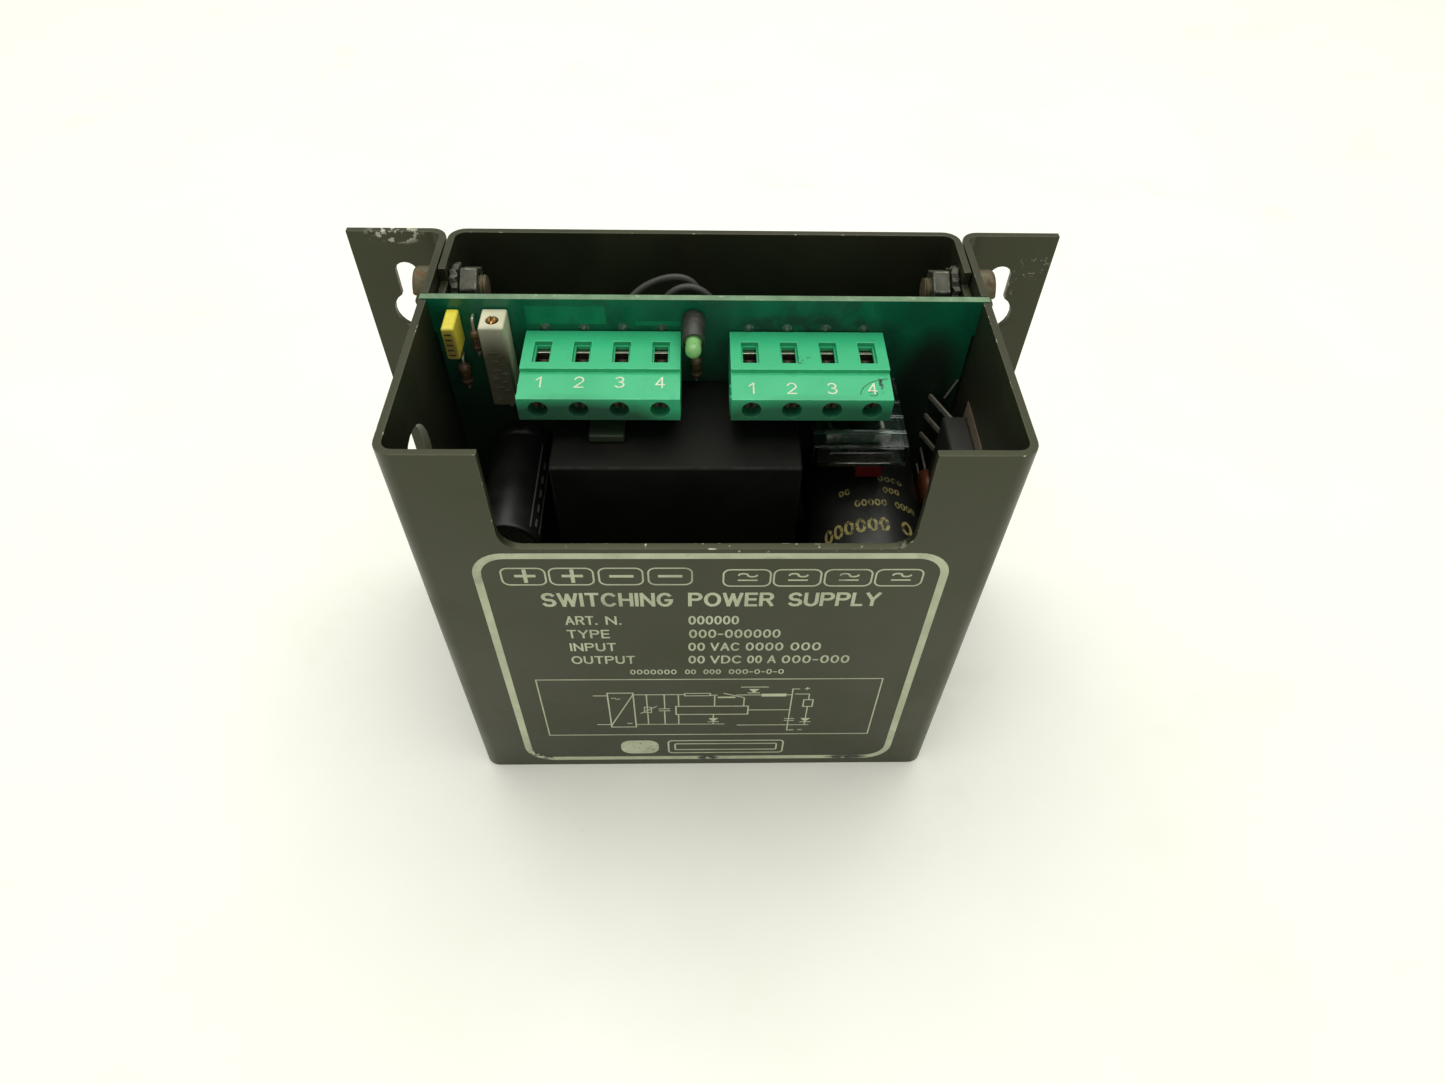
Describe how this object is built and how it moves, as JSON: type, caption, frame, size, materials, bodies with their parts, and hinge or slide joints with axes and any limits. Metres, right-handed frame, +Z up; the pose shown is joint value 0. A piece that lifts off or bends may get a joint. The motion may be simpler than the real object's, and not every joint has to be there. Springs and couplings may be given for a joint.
{
  "type": "panel-mount switching power supply",
  "caption": "Open-top folded metal case with keyhole flanges, an upright circuit board, screw terminals and a trimmer.",
  "frame": {"origin": "bottom centre of the bounding box: centre of the width, half way between front panel and mounting face, at the bottom edges", "axes": "+Z up, +X to the right seen from the printed front, +Y towards the mounting face"},
  "size_m": [0.149, 0.067, 0.109],
  "materials": {
    "black_paint": "semi-gloss black with a slight olive cast, chipped to bare metal at edges",
    "green_board": "green solder mask over glass-fibre laminate",
    "green_moulding": "satin bright green moulding",
    "beige_case": "light grey-beige plastic",
    "brass_screw": "machined brass",
    "wiper_steel": "plain spring steel",
    "black_plastic": "smooth black plastic",
    "lamp_green": "translucent green lens",
    "black_sleeve": "shrunk black sleeve, slightly glossy",
    "resistor_coating": "tan coating with dark bands",
    "yellow_case": "yellow moulded case",
    "red_case": "dark red case",
    "olive_insulator": "dull olive insulation",
    "orange_coating": "orange dipped coating",
    "transistor_epoxy": "grey-brown moulding compound",
    "zinc_steel": "zinc plated",
    "dull_nut_steel": "dull zinc plated",
    "browned_steel": "browned and lightly rusted",
    "clamp_steel": "plated clamp steel",
    "clear_plastic": "clear moulded cover",
    "fuse_glass": "glass tube with metal caps",
    "black_insulation": "flexible black insulation"
  },
  "bodies": {
    "case": {"outer_shell": "black_paint", "rear_tray": "black_paint", "main_board": "green_board", "output_terminal_housing": "green_moulding", "input_terminal_housing": "green_moulding", "trimmer_body": "beige_case", "lamp_spacer": "black_plastic", "power_lamp": "lamp_green", "bulk_capacitor": "black_sleeve", "output_capacitor": "black_sleeve", "lower_capacitor": "black_sleeve", "resistor_trimmer": "resistor_coating", "resistor_output": "resistor_coating", "resistor_lamp": "resistor_coating", "film_capacitor": "yellow_case", "suppression_capacitor": "red_case", "storage_choke": "black_plastic", "choke_spacer": "olive_insulator", "filter_choke": "olive_insulator", "control_chip": "transistor_epoxy", "disc_capacitor": "orange_coating", "power_transistor": "transistor_epoxy", "transistor_screw": "zinc_steel", "fuse_cover": "clear_plastic", "fuse_link": "fuse_glass", "jumper_wire_long": "black_insulation", "jumper_wire_short": "black_insulation", "side_screw_left_lower": "browned_steel", "lock_washer_left_lower": "zinc_steel", "hex_nut_left_lower": "dull_nut_steel", "side_screw_left_upper": "browned_steel", "lock_washer_left_upper": "zinc_steel", "hex_nut_left_upper": "dull_nut_steel", "side_screw_right_lower": "browned_steel", "lock_washer_right_lower": "zinc_steel", "hex_nut_right_lower": "dull_nut_steel", "side_screw_right_upper": "browned_steel", "lock_washer_right_upper": "zinc_steel", "hex_nut_right_upper": "dull_nut_steel"},
    "output_terminal_screw_1": {"output_terminal_screw_1": "zinc_steel"},
    "output_clamp_1": {"output_clamp_1": "clamp_steel"},
    "output_terminal_screw_2": {"output_terminal_screw_2": "zinc_steel"},
    "output_clamp_2": {"output_clamp_2": "clamp_steel"},
    "output_terminal_screw_3": {"output_terminal_screw_3": "zinc_steel"},
    "output_clamp_3": {"output_clamp_3": "clamp_steel"},
    "output_terminal_screw_4": {"output_terminal_screw_4": "zinc_steel"},
    "output_clamp_4": {"output_clamp_4": "clamp_steel"},
    "input_terminal_screw_1": {"input_terminal_screw_1": "zinc_steel"},
    "input_clamp_1": {"input_clamp_1": "clamp_steel"},
    "input_terminal_screw_2": {"input_terminal_screw_2": "zinc_steel"},
    "input_clamp_2": {"input_clamp_2": "clamp_steel"},
    "input_terminal_screw_3": {"input_terminal_screw_3": "zinc_steel"},
    "input_clamp_3": {"input_clamp_3": "clamp_steel"},
    "input_terminal_screw_4": {"input_terminal_screw_4": "zinc_steel"},
    "input_clamp_4": {"input_clamp_4": "clamp_steel"},
    "trimmer_screw": {"trimmer_screw": "brass_screw"},
    "trimmer_wiper": {"trimmer_wiper": "wiper_steel"}
  },
  "joints": [
    {"name": "output_screw_turn_1", "type": "hinge", "parent": "case", "child": "output_terminal_screw_1", "pos_m": [-0.03173, -0.0092, 0.098], "axis": [0, -1, 0], "range_deg": [0, 1800]},
    {"name": "output_clamp_lift_1", "type": "slide", "parent": "case", "child": "output_clamp_1", "axis": [0, 1, 0], "range_m": [0, 0.0025]},
    {"name": "output_screw_turn_2", "type": "hinge", "parent": "case", "child": "output_terminal_screw_2", "pos_m": [-0.02411, -0.0092, 0.098], "axis": [0, -1, 0], "range_deg": [0, 1800]},
    {"name": "output_clamp_lift_2", "type": "slide", "parent": "case", "child": "output_clamp_2", "axis": [0, 1, 0], "range_m": [0, 0.0025]},
    {"name": "output_screw_turn_3", "type": "hinge", "parent": "case", "child": "output_terminal_screw_3", "pos_m": [-0.01649, -0.0092, 0.098], "axis": [0, -1, 0], "range_deg": [0, 1800]},
    {"name": "output_clamp_lift_3", "type": "slide", "parent": "case", "child": "output_clamp_3", "axis": [0, 1, 0], "range_m": [0, 0.0025]},
    {"name": "output_screw_turn_4", "type": "hinge", "parent": "case", "child": "output_terminal_screw_4", "pos_m": [-0.00887, -0.0092, 0.098], "axis": [0, -1, 0], "range_deg": [0, 1800]},
    {"name": "output_clamp_lift_4", "type": "slide", "parent": "case", "child": "output_clamp_4", "axis": [0, 1, 0], "range_m": [0, 0.0025]},
    {"name": "input_screw_turn_1", "type": "hinge", "parent": "case", "child": "input_terminal_screw_1", "pos_m": [0.00832, -0.0092, 0.098], "axis": [0, -1, 0], "range_deg": [0, 1800]},
    {"name": "input_clamp_lift_1", "type": "slide", "parent": "case", "child": "input_clamp_1", "axis": [0, 1, 0], "range_m": [0, 0.0025]},
    {"name": "input_screw_turn_2", "type": "hinge", "parent": "case", "child": "input_terminal_screw_2", "pos_m": [0.01594, -0.0092, 0.098], "axis": [0, -1, 0], "range_deg": [0, 1800]},
    {"name": "input_clamp_lift_2", "type": "slide", "parent": "case", "child": "input_clamp_2", "axis": [0, 1, 0], "range_m": [0, 0.0025]},
    {"name": "input_screw_turn_3", "type": "hinge", "parent": "case", "child": "input_terminal_screw_3", "pos_m": [0.02356, -0.0092, 0.098], "axis": [0, -1, 0], "range_deg": [0, 1800]},
    {"name": "input_clamp_lift_3", "type": "slide", "parent": "case", "child": "input_clamp_3", "axis": [0, 1, 0], "range_m": [0, 0.0025]},
    {"name": "input_screw_turn_4", "type": "hinge", "parent": "case", "child": "input_terminal_screw_4", "pos_m": [0.03118, -0.0092, 0.098], "axis": [0, -1, 0], "range_deg": [0, 1800]},
    {"name": "input_clamp_lift_4", "type": "slide", "parent": "case", "child": "input_clamp_4", "axis": [0, 1, 0], "range_m": [0, 0.0025]},
    {"name": "trimmer_screw_turn", "type": "hinge", "parent": "case", "child": "trimmer_screw", "pos_m": [-0.04088, 0.0049, 0.1075], "axis": [0, 0, 1], "range_deg": [-2700, 2700]},
    {"name": "trimmer_wiper_travel", "type": "slide", "parent": "case", "child": "trimmer_wiper", "axis": [0, 0, -1], "range_m": [-0.006, 0.006]}
  ],
  "couplings": [
    {"joint": "output_screw_turn_1", "follows": "output_clamp_lift_1", "rad_per_m": 12566},
    {"joint": "output_screw_turn_2", "follows": "output_clamp_lift_2", "rad_per_m": 12566},
    {"joint": "output_screw_turn_3", "follows": "output_clamp_lift_3", "rad_per_m": 12566},
    {"joint": "output_screw_turn_4", "follows": "output_clamp_lift_4", "rad_per_m": 12566},
    {"joint": "input_screw_turn_1", "follows": "input_clamp_lift_1", "rad_per_m": 12566},
    {"joint": "input_screw_turn_2", "follows": "input_clamp_lift_2", "rad_per_m": 12566},
    {"joint": "input_screw_turn_3", "follows": "input_clamp_lift_3", "rad_per_m": 12566},
    {"joint": "input_screw_turn_4", "follows": "input_clamp_lift_4", "rad_per_m": 12566},
    {"joint": "trimmer_screw_turn", "follows": "trimmer_wiper_travel", "rad_per_m": 7854}
  ]
}
